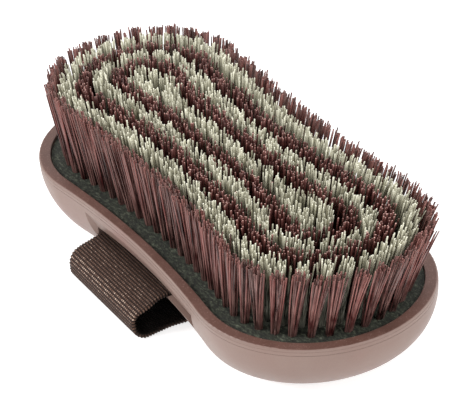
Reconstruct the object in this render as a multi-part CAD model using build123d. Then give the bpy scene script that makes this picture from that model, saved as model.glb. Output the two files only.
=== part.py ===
from build123d import *
import math
import os

# Horse body brush with a webbing hand strap, lying on its back with the bristles up.
# Millimetres. +Z is up and +X runs along the brush. The origin is on the resting plane,
# on the underside of the strap, below the middle of the brush.

# ---- driving dimensions -------------------------------------------------------------
LENGTH = 180.0            # overall length of the rim outline
LOBE_RADIUS = 38.0        # end lobes of the rim outline
WAIST_HALF = 34.4         # half width of the rim outline at the waist
RIM_TOP = 24.0            # height of the rim face above the resting plane
RIM_THICKNESS = 2.2       # rim frame, from its face down to the parting line
RIM_INNER_RADIUS = 34.0   # lobes of the opening in the rim frame
RIM_INNER_WAIST = 31.0    # half width of that opening at the waist
LOBE_CENTRE = LENGTH / 2 - LOBE_RADIUS
PARTING = RIM_TOP - RIM_THICKNESS
EDGE_RADIUS = 0.5         # outer edge of the rim face
LIP_HEIGHT = 0.95         # fine step in the rim frame's side, below its face
LIP_INSET = 0.06
PARTING_BEVEL = 0.12      # bevel under the rim frame that shows as the parting line

STRAP_WIDTH = 45.0
STRAP_THICKNESS = 1.3
STRAP_CENTRE = -5.5       # the strap lies slightly towards the far end of its slots
STRAP_REACH = 45.0        # how far out the slack of the strap stands
SKIN = 0.1                # clearance between the back and the strap below it

BACK_DEPTH = PARTING - STRAP_THICKNESS - SKIN
END_INSET = 25.4          # how far the domed back draws in at the ends
SIDE_INSET = 15.5         # and at the sides
WALL = 2.4
FLOOR_THICKNESS = 2.6
ROOT = 0.4                # how far the inner ledges and shelves run into the wall
DOME_STEPS = 6

BOARD_TOP = RIM_TOP - 1.0
BOARD_BOTTOM = 16.0
BOARD_GAP = 0.2           # board to rim opening
FLANGE_TOP = PARTING - 0.1
FLANGE_BOTTOM = 19.0
FLANGE_RADIUS = 35.1
FLANGE_WAIST = 31.7

SHELF_TOP = 11.6          # the strap ends lie on two shelves inside the back
SHELF_THICKNESS = 2.2
SHELF_INNER = 18.5
SHELF_HALF = 34.0
SHELF_DEPTH = 20.0        # runs into the side wall
SLOT_HALF = 23.2          # each slot is a little wider than the strap
SLOT_ARCH = (14.8, 15.2, 13.6)  # height of its arch at the -X end, in the middle, at +X
SCOOP_ENDS = (-31.4, 38.6)  # tucked-in panel of the side wall above each slot
SCOOP_SLANT = 1.33        # run of its slanting ends along X for each millimetre of depth
SCOOP_LOW = 12.4
SCOOP_TOP = 20.0
SCOOP_DEPTH_TOP = 0.2     # panel's distance inside the rim outline, at its top
SCOOP_DEPTH_LOW = 3.4     # and at its foot

CLAMP_Y = 23.0
CLAMP_SIZE = (45.0, 7.0, 1.4)
CLAMP_SCREW_X = 16.0
CLAMP_SCREW_LENGTH = 8.2
CLAMP_SHANK = 1.1
CLAMP_HEAD = 2.5
CLAMP_HEAD_HEIGHT = 1.1
SCREW_POINT = 1.0
BORE_SPARE = 0.5          # bore below the screw's point
CLAMP_BOSS = 2.7
CLAMP_BOSS_BOTTOM = 4.5
CLEARANCE = 0.05          # around screws and around the rim frame's tongue

TUFT_ROWS = 5             # closed rows around the core
TUFT_PITCH = 5.6
TUFT_ROOT_RADIUS = 1.25
TUFT_TIP_RADIUS = 2.3
TUFT_TOP = 50.0
HOLE_DEPTH = 5.0
ROOT_DEPTH = 3.5
ROW_CENTRE = 52.2         # lobe centre shared by all the rows
OUTER_ROW_RADIUS = 28.2
OUTER_ROW_WAIST = 24.3
ROW_STEP_LOBE = 5.0
ROW_STEP_WAIST = 4.86
FAN_X = 0.075             # tips stand this much further out, as a share of x and of y
FAN_Y = 0.13
LEAN_X = 3.0              # and the whole field leans this much along the brush
LEAN_Y = 0.4
OUTER_FAN_X = 0.095       # the outer row splays further, most of all at the waist
OUTER_FAN_Y = 0.135
OUTER_FAN_WAIST = 0.07
OUTER_LEAN_Y = 1.3
ANCHOR_SIZE = (2.1, 0.4, 1.3)


# ---- outline helpers ----------------------------------------------------------------
def waist_radius(centre, radius, waist):
    """Radius of the hollow arc that meets both lobes of a peanut outline tangentially."""
    return (centre**2 + waist**2 - radius**2) / (2 * (radius - waist))


def outline_face(centre, radius, waist, z=0.0):
    """Peanut face: two lobes of one radius, joined by two hollow arcs."""
    hollow = waist_radius(centre, radius, waist)
    away = waist + hollow
    turn = math.degrees(math.atan2(away, centre))
    edges = [
        CenterArc((centre, 0), radius, turn - 180, 360 - 2 * turn),
        CenterArc((0, away), hollow, turn - 180, 180 - 2 * turn),
        CenterArc((-centre, 0), radius, turn, 360 - 2 * turn),
        CenterArc((0, -away), hollow, turn, 180 - 2 * turn),
    ]
    return Pos(0, 0, z) * make_face(edges)


def slab(centre, radius, waist, low, high):
    return extrude(outline_face(centre, radius, waist, low), high - low)


def outline_y(centre, radius, waist, x):
    """Half width of the hollow stretch of a peanut outline at x."""
    hollow = waist_radius(centre, radius, waist)
    return waist + hollow - math.sqrt(hollow**2 - x**2)


def outline_points(centre, radius, waist, pitch):
    """Points evenly spaced around a peanut outline, starting at its +X end."""
    hollow = waist_radius(centre, radius, waist)
    away = waist + hollow
    turn = math.atan2(away, centre)
    lobe = (2 * math.pi - 2 * turn) * radius
    side = (math.pi - 2 * turn) * hollow
    perimeter = 2 * (lobe + side)
    count = 2 * round(perimeter / pitch / 2)
    points = []
    for i in range(count):
        s = (i * perimeter / count + lobe / 2) % perimeter
        flip = 1 if s < lobe + side else -1
        s = s % (lobe + side)
        if s < lobe:
            angle = turn - math.pi + s / radius
            x, y = centre + radius * math.cos(angle), radius * math.sin(angle)
        else:
            angle = -turn - (s - lobe) / hollow
            x, y = hollow * math.cos(angle), away + hollow * math.sin(angle)
        points.append((flip * x, flip * y))
    return points


def mirrored(points):
    return [(sx * x, sy * y) for x, y in points for sx in (1, -1) for sy in (1, -1)]


# ---- tuft places --------------------------------------------------------------------
def row_points(row):
    """Tuft places of one closed row; row 0 is the outermost."""
    return outline_points(
        ROW_CENTRE,
        OUTER_ROW_RADIUS - row * ROW_STEP_LOBE,
        OUTER_ROW_WAIST - row * ROW_STEP_WAIST,
        TUFT_PITCH,
    )


def core_points():
    """One straight row along the waist that opens into a small loop in each lobe."""
    straight = 6
    line = [(i * TUFT_PITCH, 0.0) for i in range(-straight, straight + 1)]
    first = (straight + 0.9) * TUFT_PITCH
    pairs = [(first + i * TUFT_PITCH, 2.4 + 0.5 * min(i, 1)) for i in range(3)]
    ends = [(first + 3 * TUFT_PITCH, 0.0), (-first - 3 * TUFT_PITCH, 0.0)]
    return line + mirrored(pairs) + ends


def all_rows():
    return [row_points(row) for row in range(TUFT_ROWS)] + [core_points()]


# ---- moulded parts ------------------------------------------------------------------
def dome(wall, depth):
    """Solid under the peanut outline that draws in along a quarter ellipse to a flat."""
    sections = []
    for step in range(DOME_STEPS + 1):
        angle = math.pi / 2 * step / DOME_STEPS
        inset = 1 - math.cos(angle)
        radius = LOBE_RADIUS - wall - SIDE_INSET * inset
        waist = WAIST_HALF - wall - SIDE_INSET * inset
        end = LENGTH / 2 - wall - END_INSET * inset
        sections.append(outline_face(end - radius, radius, waist, PARTING - depth * math.sin(angle)))
    return loft(sections)


def slot_cutter(side):
    """Shallow arched slot through one side wall, where the strap comes out."""
    left = (STRAP_CENTRE - SLOT_HALF, SLOT_ARCH[0])
    right = (STRAP_CENTRE + SLOT_HALF, SLOT_ARCH[2])
    sill = Polyline(left, (left[0], SHELF_TOP), (right[0], SHELF_TOP), right)
    arch = [sill, ThreePointArc(left, (STRAP_CENTRE, SLOT_ARCH[1]), right)]
    profile = Plane.XZ.offset(-side * 26.0) * make_face(arch)
    return extrude(profile, 14.0, dir=(0, side, 0))


def scoop_cutter(side):
    """Band of side wall above the slot that is tucked in under the rim."""
    inner, outer = WAIST_HALF - 6.0, WAIST_HALF + 20.0
    corners = []
    for x, way, y in (
        (SCOOP_ENDS[0], -1, outer),
        (SCOOP_ENDS[0], -1, inner),
        (SCOOP_ENDS[1], 1, inner),
        (SCOOP_ENDS[1], 1, outer),
    ):
        corners.append((x + way * SCOOP_SLANT * (y - WAIST_HALF - 1.0), side * y, SCOOP_LOW))
    profile = make_face(Polyline(*corners, close=True))
    block = extrude(profile, SCOOP_TOP - SCOOP_LOW, dir=(0, 0, 1))
    faces = []
    for depth, z in ((SCOOP_DEPTH_LOW, SCOOP_LOW), (SCOOP_DEPTH_TOP, SCOOP_TOP)):
        faces.append(outline_face(LOBE_CENTRE, LOBE_RADIUS - depth, WAIST_HALF - depth, z))
    return block - loft(faces)


def groove(clearance):
    """Ring halfway through the wall at the parting line, for the rim frame's tongue."""
    outer = 0.9 - clearance
    inner = 1.6 + clearance
    depth = 0.9 + clearance
    ring = slab(LOBE_CENTRE, LOBE_RADIUS - outer, WAIST_HALF - outer, PARTING - depth, PARTING)
    return ring - slab(LOBE_CENTRE, LOBE_RADIUS - inner, WAIST_HALF - inner, PARTING - depth, PARTING)


def clamp_screw_places(side):
    return [(STRAP_CENTRE + dx, side * CLAMP_Y) for dx in (-CLAMP_SCREW_X, CLAMP_SCREW_X)]


def back_shell():
    """Domed, hollow back with the strap shelves, their screw bosses and the board's ledge."""
    outer = dome(0.0, BACK_DEPTH)
    for side in (1, -1):
        outer -= scoop_cutter(side)
        outer -= slot_cutter(side)
    shell = outer - dome(WALL, BACK_DEPTH - FLOOR_THICKNESS)
    ledge = slab(LOBE_CENTRE, LOBE_RADIUS, WAIST_HALF, BOARD_BOTTOM, FLANGE_BOTTOM)
    opening = (LOBE_CENTRE, RIM_INNER_RADIUS - BOARD_GAP / 2, RIM_INNER_WAIST - BOARD_GAP / 2)
    inside = ledge - slab(*opening, BOARD_BOTTOM, FLANGE_BOTTOM)
    for side in (1, -1):
        middle = (0, side * (SHELF_INNER + SHELF_DEPTH / 2), SHELF_TOP - SHELF_THICKNESS / 2)
        inside += Pos(*middle) * Box(2 * SHELF_HALF, SHELF_DEPTH, SHELF_THICKNESS)
        for x, y in clamp_screw_places(side):
            boss = Cylinder(CLAMP_BOSS, SHELF_TOP - CLAMP_BOSS_BOTTOM)
            inside += Pos(x, y, (CLAMP_BOSS_BOTTOM + SHELF_TOP) / 2) * boss
    shell += inside & dome(WALL - ROOT, BACK_DEPTH - FLOOR_THICKNESS + ROOT)
    depth = CLAMP_SCREW_LENGTH - STRAP_THICKNESS - CLAMP_SIZE[2] + BORE_SPARE
    for x, y in clamp_screw_places(1) + clamp_screw_places(-1):
        shell -= screw_bore(x, y, SHELF_TOP, CLAMP_SHANK, depth)
    return shell - groove(CLEARANCE)


def rim_frame():
    """Flat frame around the bristle board, with a tongue that sits in the back's groove."""
    step = RIM_TOP - LIP_HEIGHT
    frame = slab(LOBE_CENTRE, LOBE_RADIUS, WAIST_HALF, PARTING, step)
    frame = chamfer(frame.edges().group_by(Axis.Z)[0], PARTING_BEVEL)
    frame += slab(LOBE_CENTRE, LOBE_RADIUS - LIP_INSET, WAIST_HALF - LIP_INSET, step, RIM_TOP)
    frame -= slab(LOBE_CENTRE, RIM_INNER_RADIUS, RIM_INNER_WAIST, PARTING, RIM_TOP)
    top = frame.faces().sort_by(Axis.Z)[-1]
    frame = fillet(top.outer_wire().edges(), EDGE_RADIUS)
    inner = frame.faces().sort_by(Axis.Z)[-1].inner_wires()[0]
    frame = fillet(inner.edges(), EDGE_RADIUS / 2)
    return frame + groove(0.0)


def bristle_board():
    """Board with one blind hole for each tuft, and a flange held down by the rim frame."""
    radius = RIM_INNER_RADIUS - BOARD_GAP
    waist = RIM_INNER_WAIST - BOARD_GAP
    board = slab(LOBE_CENTRE, radius, waist, BOARD_BOTTOM, BOARD_TOP)
    board += slab(LOBE_CENTRE, FLANGE_RADIUS, FLANGE_WAIST, FLANGE_BOTTOM, FLANGE_TOP)
    hanging = (Align.CENTER, Align.CENTER, Align.MAX)
    hole = Cylinder(TUFT_ROOT_RADIUS, HOLE_DEPTH, align=hanging)
    places = [point for row in all_rows() for point in row]
    board -= [Pos(x, y, BOARD_TOP) * hole for x, y in places]
    return board


# ---- tufts and their anchors --------------------------------------------------------
def tip_place(x, y, outer):
    """Where the middle of a tuft ends."""
    if outer:
        waist = 1 - min(1.0, (x / ROW_CENTRE) ** 2)
        fan = OUTER_FAN_Y + OUTER_FAN_WAIST * waist
        return x * (1 + OUTER_FAN_X) + LEAN_X, y * (1 + fan) + OUTER_LEAN_Y
    return x * (1 + FAN_X) + LEAN_X, y * (1 + FAN_Y) + LEAN_Y


def tuft(x, y, outer):
    """One bundle of filaments: a round root in its hole, fanning out to a flat-cut tip."""
    root = Pos(x, y, BOARD_TOP - ROOT_DEPTH / 2) * Cylinder(TUFT_ROOT_RADIUS, ROOT_DEPTH)
    base = Pos(x, y, BOARD_TOP) * Circle(TUFT_ROOT_RADIUS)
    tip = Pos(*tip_place(x, y, outer), TUFT_TOP) * Circle(TUFT_TIP_RADIUS)
    return root + loft([base, tip])


def anchor(x, y):
    """Flat wire anchor at the bottom of a tuft's hole."""
    low = BOARD_TOP - HOLE_DEPTH
    return Pos(x, y, low + ANCHOR_SIZE[2] / 2) * Box(*ANCHOR_SIZE)


# ---- strap and its fixings ----------------------------------------------------------
def screw_bore(x, y, top, shank, length):
    return Pos(x, y, top - length / 2) * Cylinder(shank + CLEARANCE, length)


def screw(head, shank, length):
    """Self-tapping screw on the Z axis: head profile first, then a shank down to its point."""
    corners = head + [(shank, SCREW_POINT - length), (0, -length)]
    return revolve(Plane.XZ * make_face(Polyline(*corners, close=True)), Axis.Z)


def strap_screws():
    top = SHELF_TOP + STRAP_THICKNESS + CLAMP_SIZE[2]
    rounded = [(0, CLAMP_HEAD_HEIGHT), (0.7 * CLAMP_HEAD, CLAMP_HEAD_HEIGHT)]
    edge = [(CLAMP_HEAD, 0.4 * CLAMP_HEAD_HEIGHT), (CLAMP_HEAD, 0), (CLAMP_SHANK, 0)]
    one = screw(rounded + edge, CLAMP_SHANK, CLAMP_SCREW_LENGTH)
    return [Pos(x, y, top) * one for side in (1, -1) for x, y in clamp_screw_places(side)]


def clamp_bar(side):
    """Flat bar that presses one end of the strap onto its shelf."""
    low = SHELF_TOP + STRAP_THICKNESS
    bar = Pos(STRAP_CENTRE, side * CLAMP_Y, low + CLAMP_SIZE[2] / 2) * Box(*CLAMP_SIZE)
    bar = fillet(bar.edges().filter_by(Axis.Z), 1.5)
    for x, y in clamp_screw_places(side):
        bar -= screw_bore(x, y, low + CLAMP_SIZE[2], CLAMP_SHANK, CLAMP_SIZE[2])
    return bar


def strap_path():
    """Middle line of the strap across the brush, in Y and Z, from the far to the near end."""
    low = STRAP_THICKNESS / 2
    shelf = SHELF_TOP + STRAP_THICKNESS / 2
    points = [
        (-SHELF_INNER, shelf),
        (-35.0, shelf),
        (-STRAP_REACH, 8.9),
        (-STRAP_REACH, low),
        (26.0, low),
        (34.0, 4.2),
        (35.8, shelf),
        (SHELF_INNER, shelf),
    ]
    return FilletPolyline(*points, radius=[8.0, 4.0, 4.0, 12.0, 6.0, 1.6])


def hand_strap():
    """Webbing band: clamped at both ends, slack in a loop on the -Y side, flat under the back."""
    band = trace(strap_path(), STRAP_THICKNESS)
    plane = Plane.YZ.offset(STRAP_CENTRE - STRAP_WIDTH / 2)
    strap = extrude(plane * band, STRAP_WIDTH, dir=(1, 0, 0))
    for side in (1, -1):
        for x, y in clamp_screw_places(side):
            strap -= screw_bore(x, y, SHELF_TOP + STRAP_THICKNESS, CLAMP_SHANK, STRAP_THICKNESS)
    return strap


# ---- the parts ----------------------------------------------------------------------
ROW_NAMES = [
    "brown_row_1_outer",
    "sage_row_2",
    "brown_row_3",
    "sage_row_4",
    "brown_row_5",
    "sage_core",
]


def build():
    parts = {
        "back_shell": back_shell(),
        "rim_frame": rim_frame(),
        "bristle_board": bristle_board(),
        "hand_strap": hand_strap(),
        "strap_clamp_near": clamp_bar(-1),
        "strap_clamp_far": clamp_bar(1),
        "strap_screws": Compound(children=strap_screws()),
    }
    for name, points in zip(ROW_NAMES, all_rows()):
        outer = name == ROW_NAMES[0]
        parts[name] = Compound(children=[tuft(x, y, outer) for x, y in points])
        parts[name + "_anchors"] = Compound(children=[anchor(x, y) for x, y in points])
    return parts


os.makedirs("parts", exist_ok=True)
for node, shape in build().items():
    export_step(shape, os.path.join("parts", node + ".step"))
print("strap length", round(strap_path().length, 1), "tufts", sum(len(row) for row in all_rows()))
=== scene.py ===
import math

import bpy
import numpy as np
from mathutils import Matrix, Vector


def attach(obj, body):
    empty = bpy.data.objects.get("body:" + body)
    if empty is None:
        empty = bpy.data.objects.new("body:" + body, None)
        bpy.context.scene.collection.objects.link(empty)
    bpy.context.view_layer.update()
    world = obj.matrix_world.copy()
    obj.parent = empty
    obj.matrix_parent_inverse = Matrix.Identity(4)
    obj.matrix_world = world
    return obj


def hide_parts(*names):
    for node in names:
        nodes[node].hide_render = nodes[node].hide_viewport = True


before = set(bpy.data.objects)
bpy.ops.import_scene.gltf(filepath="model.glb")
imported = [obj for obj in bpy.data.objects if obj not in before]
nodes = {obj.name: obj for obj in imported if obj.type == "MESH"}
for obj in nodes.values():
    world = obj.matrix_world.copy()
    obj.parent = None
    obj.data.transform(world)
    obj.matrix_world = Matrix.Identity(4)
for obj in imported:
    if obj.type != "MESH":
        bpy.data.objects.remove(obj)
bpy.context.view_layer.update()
MM = 0.001


# ---- camera -------------------------------------------------------------------------
AZIMUTH, ELEVATION, ROLL = 62.68, 31.31, -5.19       # degrees
TARGET = (0, 0, 24)                                  # the middle of the rim's face, in mm
DISTANCE, SIDE, LIFT = 799.02, 2.95, -0.77           # of the camera from the target, in mm
LENS, SENSOR = 189.33, 36


def make_camera():
    azimuth, elevation, roll = (math.radians(angle) for angle in (AZIMUTH, ELEVATION, ROLL))
    sin_a, cos_a = math.sin(azimuth), math.cos(azimuth)
    back = Vector((sin_a * math.cos(elevation), -cos_a * math.cos(elevation), math.sin(elevation)))
    right = Vector((cos_a, sin_a, 0))
    up = back.cross(right)
    turned_right = right * math.cos(roll) + up * math.sin(roll)
    turned_up = up * math.cos(roll) - right * math.sin(roll)
    place = Vector(TARGET) + back * DISTANCE + turned_right * SIDE + turned_up * LIFT
    data = bpy.data.cameras.new("camera")
    data.lens, data.sensor_width = LENS, SENSOR
    data.clip_start, data.clip_end = 0.05, 20
    camera = bpy.data.objects.new("camera", data)
    bpy.context.scene.collection.objects.link(camera)
    matrix = camera.matrix_world.copy()
    for row in range(3):
        matrix[row][0] = turned_right[row]
        matrix[row][1] = turned_up[row]
        matrix[row][2] = back[row]
        matrix[row][3] = place[row] * MM
    camera.matrix_world = matrix
    bpy.context.scene.camera = camera


# ---- materials ----------------------------------------------------------------------
class Nodes:
    """Adds nodes to one new material."""

    def __init__(self, name):
        self.material = bpy.data.materials.new(name)
        self.material.use_nodes = True
        self.tree = self.material.node_tree
        self.shader = next(n for n in self.tree.nodes if n.type == "BSDF_PRINCIPLED")

    def add(self, kind, **settings):
        node = self.tree.nodes.new("ShaderNode" + kind)
        for key, value in settings.items():
            if key in node.inputs:
                if isinstance(value, bpy.types.NodeSocket):
                    self.tree.links.new(value, node.inputs[key])
                else:
                    node.inputs[key].default_value = value
            else:
                setattr(node, key, value)
        return node

    def place(self):
        """The point on the object, in metres."""
        return self.add("TexCoord").outputs["Object"]

    def scaled(self, x, y, z):
        return self.add("Mapping", Vector=self.place(), Scale=(x, y, z)).outputs[0]

    def noise(self, scale, detail=3.0, vector=None, roughness=0.6):
        vector = vector or self.place()
        node = self.add("TexNoise", Vector=vector, Scale=scale, Detail=detail, Roughness=roughness)
        return node.outputs[0]

    def attribute(self, name):
        return self.add("Attribute", attribute_name=name).outputs["Fac"]

    def math(self, operation, a, b=0.0):
        node = self.tree.nodes.new("ShaderNodeMath")
        node.operation = operation
        for socket, value in zip(node.inputs, (a, b)):
            if isinstance(value, bpy.types.NodeSocket):
                self.tree.links.new(value, socket)
            else:
                socket.default_value = value
        return node.outputs[0]

    def ramp(self, factor, stops):
        node = self.add("ValToRGB", Fac=factor)
        elements = node.color_ramp.elements
        while len(elements) < len(stops):
            elements.new(0.5)
        for element, (position, colour) in zip(elements, stops):
            element.position, element.color = position, srgb(colour)
        return node.outputs[0]

    def levels(self, factor, low, high, start=0.0, end=1.0):
        """Map start..end of the factor to low..high."""
        node = self.add("MapRange", Value=factor)
        for key, value in (("From Min", start), ("From Max", end), ("To Min", low), ("To Max", high)):
            node.inputs[key].default_value = value
        return node.outputs[0]

    def mix(self, factor, a, b, blend="MIX"):
        node = self.tree.nodes.new("ShaderNodeMix")
        node.data_type, node.blend_type = "RGBA", blend
        for socket, value in ((node.inputs[0], factor), (node.inputs[6], a), (node.inputs[7], b)):
            if isinstance(value, bpy.types.NodeSocket):
                self.tree.links.new(value, socket)
            else:
                socket.default_value = value if isinstance(value, float) else srgb(value)
        return node.outputs[2]

    def bump(self, height, distance, strength=1.0, normal=None):
        node = self.add("Bump", Height=height, Distance=distance, Strength=strength)
        if normal is not None:
            self.tree.links.new(normal, node.inputs["Normal"])
        return node.outputs[0]

    def finish(self, colour, roughness, normal=None, **values):
        """Connect the shader; a plain number or colour is set on its own socket."""
        links = [("Base Color", colour), ("Roughness", roughness), ("Normal", normal)]
        for key, value in links + list(values.items()):
            if isinstance(value, bpy.types.NodeSocket):
                self.tree.links.new(value, self.shader.inputs[key])
            elif value is not None:
                self.shader.inputs[key].default_value = value
        return self.material


def srgb(colour):
    """Linear RGBA from 8-bit sRGB."""
    def linear(value):
        value /= 255
        return value / 12.92 if value <= 0.04045 else ((value + 0.055) / 1.055) ** 2.4
    return tuple(linear(value) for value in colour) + (1.0,)


def moulded_plastic(name, shaded_speckled_top=False):
    """Satin brown plastic; the rim's level face is finely speckled and painted darker, as painted
    shade.
    """
    n = Nodes(name)
    cloud, speck = n.noise(28, 3), n.noise(2600, 2)
    colour = n.ramp(cloud, [(0.3, (123, 93, 87)), (0.5, (118, 96, 88)), (0.7, (121, 102, 94))])
    colour = n.mix(n.levels(speck, 0.0, 0.16), colour, (168, 148, 138))
    rough = n.levels(n.noise(60, 4), 0.36, 0.48, 0.3, 0.7)
    height = n.levels(speck, 0.0, 0.5)
    if shaded_speckled_top:
        coarse = n.noise(1900, 3)
        # painted shade: the darker tone of the rim's level face, with coarse light specks
        face = n.ramp(n.noise(60, 3), [(0.3, (93, 65, 57)), (0.7, (106, 77, 69))])
        face = n.mix(n.levels(coarse, 0.0, 0.8, 0.56, 0.74), face, (146, 116, 106))
        # painted shade mask: faces that point up take the darker colour, the sides keep the shell's
        # colour
        normal = n.add("SeparateXYZ", Vector=n.add("TexCoord").outputs["Normal"])
        level = n.levels(normal.outputs[2], 0.0, 1.0, 0.86, 0.97)
        colour = n.mix(level, colour, face)
        height = n.math("ADD", height, n.math("MULTIPLY", level, coarse))
    grain = n.bump(height, 0.00005, 0.6)
    sheen = {"Specular IOR Level": 0.3}
    return n.finish(colour, rough, n.bump(n.noise(35, 2), 0.0003, 0.35, grain), **sheen)


def board_plastic():
    """Rough grey-green plastic."""
    n = Nodes("board_plastic")
    hairs = n.noise(620, 6, n.scaled(1, 2.0, 1), 0.8)
    blotch = n.noise(230, 4)
    colour = n.ramp(hairs, [(0.36, (12, 13, 10)), (0.48, (38, 41, 32)), (0.56, (70, 75, 61)),
                            (0.68, (130, 134, 116))])
    colour = n.mix(n.levels(blotch, 0.0, 0.6, 0.42, 0.66), colour, (30, 32, 26))
    return n.finish(colour, n.levels(hairs, 0.6, 0.9), n.bump(hairs, 0.0005, 1.0))


def filament(name, stops, highlight_colour, dark):
    """Filament coloured from root to tip (painted shade low down, partly painted highlight at the
    tip), with painted highlight streaks, and darker from one to another.
    """
    n = Nodes(name)
    along, tint = n.attribute("along"), n.attribute("tint")
    colour = n.ramp(along, stops)
    shade = n.mix(tint, dark, (255, 255, 255))
    colour = n.mix(1.0, colour, shade, "MULTIPLY")
    # painted highlight: pale streaks running along the filaments
    highlight_streak = n.noise(420, 2, n.scaled(1, 1, 0.15))
    colour = n.mix(n.levels(highlight_streak, 0.0, 0.4, 0.3, 0.7), colour, highlight_colour)
    rough = n.levels(tint, 0.24, 0.42)
    sheen = {"Specular IOR Level": 0.3}
    return n.finish(colour, rough, n.bump(n.noise(2500, 1), 0.00003, 0.3), **sheen)


YARN_PITCH = 0.95         # mm across the strap


def webbing():
    """Ribbed weave: painted shade in the valleys and painted highlights on the crests of the ribs,
    brightest where the loop faces the key lamp, and painted shade nearly black on the inside of the
    loop.
    """
    n = Nodes("webbing")
    crest, across = n.attribute("crest"), n.attribute("across")
    shaded_inside, lamp_side_highlight = n.attribute("shaded_inside"), n.attribute("lamp_side_highlight")
    yarn = n.math("SINE", n.math("MULTIPLY", across, 2 * math.pi / YARN_PITCH))
    yarn = n.levels(yarn, 0.0, 1.0, -1.0, 1.0)
    # painted highlight: the rib crests, broken up by the yarns, lit brighter; the valleys between
    # them painted dark as shade
    lit = n.math("MULTIPLY", n.levels(crest, 0.0, 1.0, 0.25, 1.0), n.levels(yarn, 0.35, 1.0))
    lit = n.math("MULTIPLY", lit, n.levels(n.noise(1100, 3), 0.5, 1.4, 0.3, 0.7))
    # painted highlight: brighter still where the strap faces the key lamp
    lit = n.math("MULTIPLY", lit, n.levels(lamp_side_highlight, 0.62, 1.12))
    colour = n.ramp(lit, [(0.0, (26, 16, 12)), (0.3, (54, 37, 29)), (0.6, (86, 63, 51)),
                          (0.85, (118, 96, 84)), (1.0, (190, 170, 154))])
    # painted shade: the inside face of the loop nearly black
    colour = n.mix(n.levels(shaded_inside, 0.0, 0.92), colour, (8, 5, 4))
    fibre = n.noise(3800, 2)
    weave = n.bump(yarn, 0.00016, 0.9)
    sheen = {"Specular IOR Level": 0.2}
    return n.finish(colour, n.levels(fibre, 0.6, 0.85), n.bump(fibre, 0.00005, 0.6, weave), **sheen)


def plated_steel():
    """Zinc-plated steel with a fine brushed grain."""
    n = Nodes("steel")
    brushed = n.noise(500, 4, n.scaled(1, 9, 9))
    colour = n.ramp(brushed, [(0.3, (150, 152, 154)), (0.7, (196, 198, 198))])
    rough = n.levels(brushed, 0.24, 0.42)
    return n.finish(colour, rough, n.bump(brushed, 0.00002, 0.4), Metallic=1.0)


def pale_floor():
    """Nearly white floor that keeps a trace of shadow."""
    n = Nodes("pale_floor")
    colour = n.ramp(n.noise(1.5, 2), [(0.3, (200, 200, 200)), (0.7, (206, 206, 206))])
    glow = {"Emission Color": (1, 1, 1, 1), "Emission Strength": 0.7}
    return n.finish(colour, 0.9, None, **glow)


# ---- meshes -------------------------------------------------------------------------
def mesh_object(name, points, faces, attributes):
    """Smooth object from points in millimetres, with named per-point values."""
    mesh = bpy.data.meshes.new(name)
    mesh.vertices.add(len(points))
    mesh.vertices.foreach_set("co", (np.asarray(points, float) * MM).ravel())
    sizes = np.array([len(face) for face in faces])
    mesh.loops.add(int(sizes.sum()))
    mesh.loops.foreach_set("vertex_index", np.concatenate(faces))
    mesh.polygons.add(len(faces))
    mesh.polygons.foreach_set("loop_start", np.concatenate(([0], np.cumsum(sizes)[:-1])))
    mesh.update(calc_edges=True)
    mesh.polygons.foreach_set("use_smooth", np.full(len(faces), True))
    for key, values in attributes.items():
        layer = mesh.attributes.new(key, "FLOAT", "POINT")
        layer.data.foreach_set("value", np.asarray(values, float))
    mesh.validate()
    piece = bpy.data.objects.new(name, mesh)
    bpy.context.scene.collection.objects.link(piece)
    return piece


# ---- bristle layout, as the board is drilled ------------------------------------------
ROW_CENTRE, PITCH = 52.2, 5.6              # mm: the lobes' centres, and tuft to tuft
ROW_RADIUS, ROW_RADIUS_STEP = 28.2, 5.0    # of the outermost row at a lobe, and inwards
ROW_WAIST, ROW_WAIST_STEP = 24.3, 4.86     # its half width at the waist, and inwards
CORE_SIDE = 6                              # tufts of the straight core on each side
LOOP_START, LOOP_HALF, LOOP_SWELL = 6.9, 2.4, 0.5
BOARD_TOP = 23.0


def outline_points(centre, radius, waist, pitch):
    """Evenly spaced points on a peanut outline."""
    hollow = (centre**2 + waist**2 - radius**2) / (2 * (radius - waist))
    away = waist + hollow
    turn = math.atan2(away, centre)
    lobe = (2 * math.pi - 2 * turn) * radius
    side = (math.pi - 2 * turn) * hollow
    perimeter = 2 * (lobe + side)
    count = 2 * round(perimeter / pitch / 2)
    points = []
    for i in range(count):
        s = (i * perimeter / count + lobe / 2) % perimeter
        flip = 1 if s < lobe + side else -1
        s %= lobe + side
        if s < lobe:
            angle = turn - math.pi + s / radius
            x, y = centre + radius * math.cos(angle), radius * math.sin(angle)
        else:
            angle = -turn - (s - lobe) / hollow
            x, y = hollow * math.cos(angle), away + hollow * math.sin(angle)
        points.append((flip * x, flip * y))
    return points


def row_points(row):
    radius, waist = ROW_RADIUS - ROW_RADIUS_STEP * row, ROW_WAIST - ROW_WAIST_STEP * row
    return outline_points(ROW_CENTRE, radius, waist, PITCH)


def core_points():
    """One straight row that opens into a small loop in each lobe."""
    first = LOOP_START * PITCH
    line = [(i * PITCH, 0.0) for i in range(-CORE_SIDE, CORE_SIDE + 1)]
    pairs = [(first + i * PITCH, LOOP_HALF + LOOP_SWELL * min(i, 1)) for i in range(3)]
    mirrored = [(sx * x, sy * y) for x, y in pairs for sx in (1, -1) for sy in (1, -1)]
    return line + mirrored + [(first + 3 * PITCH, 0.0), (-first - 3 * PITCH, 0.0)]


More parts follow.
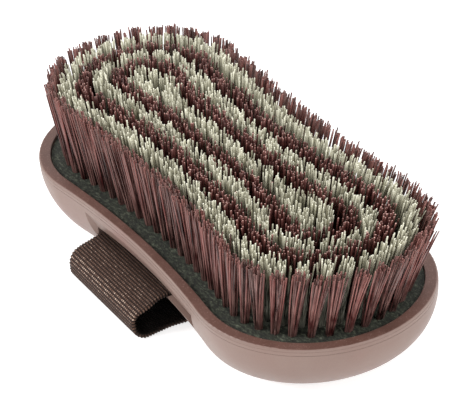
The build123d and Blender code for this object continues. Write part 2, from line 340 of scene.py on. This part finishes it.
# ---- bristles -----------------------------------------------------------------------
PER_TUFT, OUTER_TUFT = 20, 24
SIDES = 6
LENGTH = 27.7             # free length of a filament above the board
ROOT_DEPTH = 2.0          # how far a filament reaches into its hole
TUFT_RADIUS = 1.0         # of the bundle at its root
FAN = 2.6                 # how much wider the bundle is at its tips
OUTER_PINCH = 0.3         # the share of the fan that the outermost row loses across the row
OUTER_SCATTER, SCATTER = 0.3, 0.72
STRAY_SHARE, STRAY_SCATTER = 0.02, 1.3
FILAMENT_RADIUS, FILAMENT_SPREAD = 0.265, 0.022
CAP_SHARE, CAP_LIFT, TIP_LIFT = 0.62, 0.07, 0.09     # the rounded end of a filament
GOLDEN_ANGLE = 2.399963
STATIONS = np.array([0.0, 0.22, 0.5, 0.78, 1.0])     # along a filament
SLIMMING = np.array([1.0, 1.0, 0.99, 0.97, 0.90])    # of its radius at each station


def tip_place(x, y, row):
    """Where the middle of a tuft ends: the field fans out and leans a little along X."""
    if row == 0:
        waist = 1 - min(1.0, (x / ROW_CENTRE) ** 2)
        return np.array([x * 1.095 + 3.2, y * (1.135 + 0.06 * waist) + 1.1])
    if row == 1:
        return np.array([x * 1.085 + 3.0, y * 1.165 + 0.9])
    return np.array([x * 1.075 + 3.0, y * 1.13 + 0.4])


def tuft_filaments(rng, x, y, row, outward, length):
    """Middle lines of one tuft: an array of filament, station and coordinate."""
    outer = row == 0
    count = OUTER_TUFT if outer else PER_TUFT
    order = np.arange(count)
    share = np.sqrt((order + 0.5) / count)
    turn = order * GOLDEN_ANGLE + rng.uniform(0, 2 * math.pi)
    root = np.stack([share * np.cos(turn), share * np.sin(turn)], 1) * TUFT_RADIUS
    root += rng.normal(0, 0.05, root.shape)
    spread = rng.uniform(0.85, 1.14, (count, 1))
    away = tip_place(x, y, row) + rng.normal(0, 0.4, 2)
    fan = root * FAN * spread
    if outer:
        fan -= OUTER_PINCH * (fan @ outward)[:, None] * outward
    tip = away + fan + rng.normal(0, OUTER_SCATTER if outer else SCATTER, root.shape)
    stray = rng.random(count) < STRAY_SHARE
    tip[stray] += rng.normal(0, STRAY_SCATTER, (int(stray.sum()), 2))
    lateral = np.hypot(*(tip - [x, y]).T)
    length = length + rng.normal(0, 0.4, count) - 0.8 * rng.random(count) ** 4
    top = BOARD_TOP + np.sqrt(length**2 - lateral**2)
    low = BOARD_TOP - ROOT_DEPTH
    t = STATIONS[None, :, None]
    base = np.array([x, y]) + root
    bend = rng.normal(0, 0.16, (count, 2))[:, None, :] * np.sin(math.pi * t)
    flat = base[:, None, :] + (tip - base)[:, None, :] * (0.9 * t + 0.1 * t**2) + bend
    level = low + (top - low)[:, None, None] * t
    return np.concatenate([flat, level], 2)


def bristle_row(name, points, seed, row):
    """One mesh of all the filaments in a row of tufts."""
    rng = np.random.default_rng(seed)
    lines, tint = [], []
    for x, y in points:
        away = np.array([x - math.copysign(ROW_CENTRE, x) if abs(x) > ROW_CENTRE else 0.0, y])
        outward = away / max(np.hypot(*away), 1e-6)
        length = LENGTH + rng.normal(0, 0.2)
        line = tuft_filaments(rng, x, y, row, outward, length)
        lines.append(line)
        tint.append(np.clip(rng.uniform(-0.1, 1.1, len(line)) + rng.normal(0, 0.1), 0, 1))
    lines = np.concatenate(lines)
    count, rings = lines.shape[:2]
    radius = rng.normal(FILAMENT_RADIUS, FILAMENT_SPREAD, count)
    phase = rng.uniform(0, math.pi, count)
    angle = phase[:, None] + np.arange(SIDES)[None, :] * 2 * math.pi / SIDES
    ring = np.stack([np.cos(angle), np.sin(angle), np.zeros_like(angle)], 2)
    size = radius[:, None, None, None] * SLIMMING[None, :, None, None]
    body = lines[:, :, None, :] + ring[:, None, :, :] * size
    cap = lines[:, -1, None, :] + ring * (radius * CAP_SHARE)[:, None, None] + [0, 0, CAP_LIFT]
    tips = lines[:, -1, :] + [0, 0, TIP_LIFT]
    per = rings * SIDES + SIDES + 1
    points_out = np.concatenate([body.reshape(count, -1, 3), cap, tips[:, None, :]], 1)
    quads, fans = [], []
    for level in range(rings):
        for side in range(SIDES):
            a, b = level * SIDES + side, level * SIDES + (side + 1) % SIDES
            quads.append((a, b, b + SIDES, a + SIDES))
    for side in range(SIDES):
        fans.append((rings * SIDES + side, rings * SIDES + (side + 1) % SIDES, per - 1))
    offsets = (np.arange(count) * per)[:, None, None]
    faces = list((np.array(quads)[None] + offsets).reshape(-1, 4))
    faces += list((np.array(fans)[None] + offsets).reshape(-1, 3))
    along = np.repeat(np.concatenate([STATIONS * 0.95, [1.0]]), SIDES)
    along = np.tile(np.concatenate([along, [1.0]]), count)
    values = {"along": along, "tint": np.repeat(np.concatenate(tint), per)}
    return mesh_object(name, points_out.reshape(-1, 3), faces, values)


# ---- hand strap ---------------------------------------------------------------------
STRAP_PATH = [(-18.5, 12.25), (-35, 12.25), (-45, 8.9), (-45, 0.65), (26, 0.65),
              (34, 4.2), (35.8, 12.25), (18.5, 12.25)]
STRAP_BENDS = [8, 4, 4, 12, 6, 1.6]
STRAP_WIDTH, STRAP_THICKNESS, STRAP_CENTRE = 45.0, 1.3, -5.5
RIB, RIB_RELIEF, RIB_MIDDLE = 1.04, 0.24, 0.62
EDGE_ROUNDING = 0.5
STRAP_STEP, STRAP_COLUMNS = 0.14, 26


def rounded_path(corners, radii, step):
    """Points every step along a run of straights joined by arcs, with their directions."""
    corners = [np.array(c, float) for c in corners]
    pieces, last = [], corners[0]
    for before, corner, after, radius in zip(corners, corners[1:], corners[2:], radii):
        come = (corner - before) / np.linalg.norm(corner - before)
        leave = (after - corner) / np.linalg.norm(after - corner)
        turn = math.acos(float(np.clip(come @ leave, -1, 1)))
        cut = radius * math.tan(turn / 2)
        start, end = corner - come * cut, corner + leave * cut
        left = np.sign(come[0] * leave[1] - come[1] * leave[0])
        centre = start + left * radius * np.array([-come[1], come[0]])
        pieces.append(("run", last, start, 0.0))
        pieces.append(("arc", centre, start - centre, left * turn))
        last = end
    pieces.append(("run", last, corners[-1], 0.0))
    points = []
    for kind, a, b, turn in pieces:
        length = np.linalg.norm(b - a) if kind == "run" else np.linalg.norm(b) * abs(turn)
        for i in range(max(1, round(length / step))):
            t = i / max(1, round(length / step))
            if kind == "run":
                points.append(a + (b - a) * t)
            else:
                c, s = math.cos(turn * t), math.sin(turn * t)
                points.append(a + np.array([b[0] * c - b[1] * s, b[0] * s + b[1] * c]))
    points.append(corners[-1])
    points = np.array(points)
    direction = np.gradient(points, axis=0)
    return points, direction / np.linalg.norm(direction, axis=1)[:, None]


def make_strap():
    """Ribbed band along the strap's path, with rounded and slightly wavy edges."""
    points, direction = rounded_path(STRAP_PATH, STRAP_BENDS, STRAP_STEP)
    travel = np.concatenate(([0], np.cumsum(np.linalg.norm(np.diff(points, axis=0), axis=1))))
    outward = np.stack([-direction[:, 1], direction[:, 0]], 1)
    crest = np.abs(np.sin(math.pi * travel / RIB))
    # painted highlight mask: 1 where the strap's outside faces the key lamp (towards -Y and up), 0
    # elsewhere
    lamp_side_highlight = np.clip(outward @ [0.75, -0.66], 0, 1) ** 6
    half = STRAP_WIDTH / 2
    steps = STRAP_COLUMNS
    u = np.linspace(-1, 1, steps)
    across = half * np.sign(u) * (1 - (1 - np.abs(u)) ** 1.6)
    rim = np.clip((half - np.abs(across)) / EDGE_ROUNDING, 0, 1)
    dome = np.sqrt(1 - (1 - rim) ** 2)
    rng = np.random.default_rng(71)
    waves = [(rng.uniform(9, 26), rng.uniform(0, 6.3), rng.uniform(0.08, 0.2)) for _ in range(5)]
    ripple = sum(a * np.sin(2 * math.pi * travel / w + p) for w, p, a in waves)
    loops = []
    for face in (1, -1):
        order = range(steps) if face == 1 else range(steps - 2, 0, -1)
        for i in order:
            thick = STRAP_THICKNESS / 2 * dome[i]
            ribs = RIB_RELIEF * (crest - RIB_MIDDLE) * min(1.0, dome[i] + 0.25)
            edge = np.sign(across[i]) * (abs(across[i]) / half) ** 8
            push = edge * (0.34 * crest + ripple * 0.9 - 0.25)
            flat = points + outward * (face * (thick + ribs * dome[i]))[:, None]
            x = STRAP_CENTRE + across[i] + push
            loops.append(np.concatenate([x[:, None], flat], 1))
    grid = np.stack(loops, 1)
    rows, around = grid.shape[:2]
    index = np.arange(rows * around).reshape(rows, around)
    a, b = index[:-1], index[1:]
    quads = np.stack([a, b, np.roll(b, -1, 1), np.roll(a, -1, 1)], -1).reshape(-1, 4)
    faces = list(quads) + [index[0], index[-1][::-1]]
    place = np.arange(around)
    # painted shade mask: 1 on the inside face of the loop
    shaded_inside = np.tile((place > 0) & (place < steps - 1), rows)
    values = {"crest": np.repeat(crest, around), "across": grid[:, :, 0].ravel(),
              "shaded_inside": shaded_inside, "lamp_side_highlight": np.repeat(lamp_side_highlight, around)}
    return mesh_object("strap_webbing", grid.reshape(-1, 3), faces, values)


# ---- floor and light --------------------------------------------------------------------
FLOOR_SIZE, FLOOR_STEPS = 1500.0, 8
FLOOR_LEVEL = -0.15       # just below the strap's ribs


def make_floor():
    steps = FLOOR_STEPS
    ticks = np.linspace(-FLOOR_SIZE, FLOOR_SIZE, steps + 1)
    points = [(x, y, FLOOR_LEVEL) for y in ticks for x in ticks]
    index = np.arange((steps + 1) ** 2).reshape(steps + 1, steps + 1)
    faces = [np.array((index[i, j], index[i, j + 1], index[i + 1, j + 1], index[i + 1, j]))
             for i in range(steps) for j in range(steps)]
    floor = mesh_object("floor", points, faces, {})
    floor.data.materials.append(pale_floor())


LIT_POINT = (0, 0, 0.02)


def area_light(name, place, size, power):
    """White square lamp that faces the middle of the brush."""
    data = bpy.data.lights.new(name, "AREA")
    data.shape, data.size, data.energy = "SQUARE", size, power
    lamp = bpy.data.objects.new(name, data)
    lamp.location = place
    lamp.rotation_euler = (Vector(LIT_POINT) - Vector(place)).to_track_quat("-Z", "Y").to_euler()
    bpy.context.scene.collection.objects.link(lamp)


def make_light():
    world = bpy.data.worlds.new("world")
    world.use_nodes = True
    background = world.node_tree.nodes["Background"]
    background.inputs["Color"].default_value = (1, 1, 1, 1)
    background.inputs["Strength"].default_value = 0.95
    bpy.context.scene.world = world
    area_light("key", (-0.25, -0.95, 0.6), 0.25, 8)
    area_light("top", (0.1, 0.25, 1.15), 0.25, 4)
    area_light("right", (0.95, 0.2, 0.5), 0.3, 4)
    bpy.context.scene.view_settings.view_transform = "Standard"
    bpy.context.scene.view_settings.look = "None"


# ---- the object -----------------------------------------------------------------------
# filament colours from root to tip: darker low down as painted shade inside the tufts, and lighter
# tips partly painted highlight
BROWN = [(0.0, (44, 9, 9)), (0.3, (66, 18, 17)), (0.6, (114, 60, 55)), (0.9, (116, 64, 58)),
         (0.96, (88, 41, 37)), (1.0, (150, 100, 92))]
# painted shade: the inner brown rows' copy of the brown filament, dark down the shafts, with painted
# highlights on the cut tips
SHADED_BROWN = [(0.0, (8, 3, 3)), (0.6, (30, 12, 11)), (0.91, (74, 34, 30)), (0.96, (142, 96, 88)),
              (1.0, (216, 178, 168))]
# the sage's nearly black roots are painted shade; its cream tips are partly its own colour, partly
# painted highlight
SAGE = [(0.0, (5, 2, 2)), (0.45, (24, 17, 12)), (0.62, (76, 68, 50)), (0.75, (146, 140, 114)),
        (0.93, (212, 210, 188)), (1.0, (238, 236, 220))]

make_camera()
make_floor()
make_light()

# the third colour is the painted highlight of the streaks; the fourth is the darkest random tone
brown = filament("brown_filament", BROWN, (174, 134, 126), (72, 46, 45))
# the inner brown rows' shaded copy of the brown filament: painted shade with painted highlights on
# the tips
dark = filament("shaded_brown_filament", SHADED_BROWN, (110, 66, 62), (96, 74, 72))
sage = filament("sage_filament", SAGE, (222, 220, 200), (136, 132, 118))
steel = plated_steel()
finishes = {
    "back_shell": moulded_plastic("back_plastic"),
    "rim_frame": moulded_plastic("rim_plastic", True),
    "bristle_board": board_plastic(),
}
for name, node in nodes.items():
    node.data.materials.clear()
    node.data.materials.append(finishes.get(name, steel))

FIRST_SEED = 300
rows = [
    ("brown_row_1_outer", row_points(0), brown, "brown_filament"),
    ("sage_row_2", row_points(1), sage, "sage_filament"),
    ("brown_row_3", row_points(2), dark, "brown_filament"),
    ("sage_row_4", row_points(3), sage, "sage_filament"),
    ("brown_row_5", row_points(4), dark, "brown_filament"),
    ("sage_core", core_points(), sage, "sage_filament"),
]
for row, (node, points, material, finish_slot) in enumerate(rows):
    piece = bristle_row(node + "_bristles", points, FIRST_SEED + row, row)
    piece.data.materials.append(material)
    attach(piece, "root")
    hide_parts(node)

strap = make_strap()
strap.data.materials.append(webbing())
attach(strap, "root")
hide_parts("hand_strap")
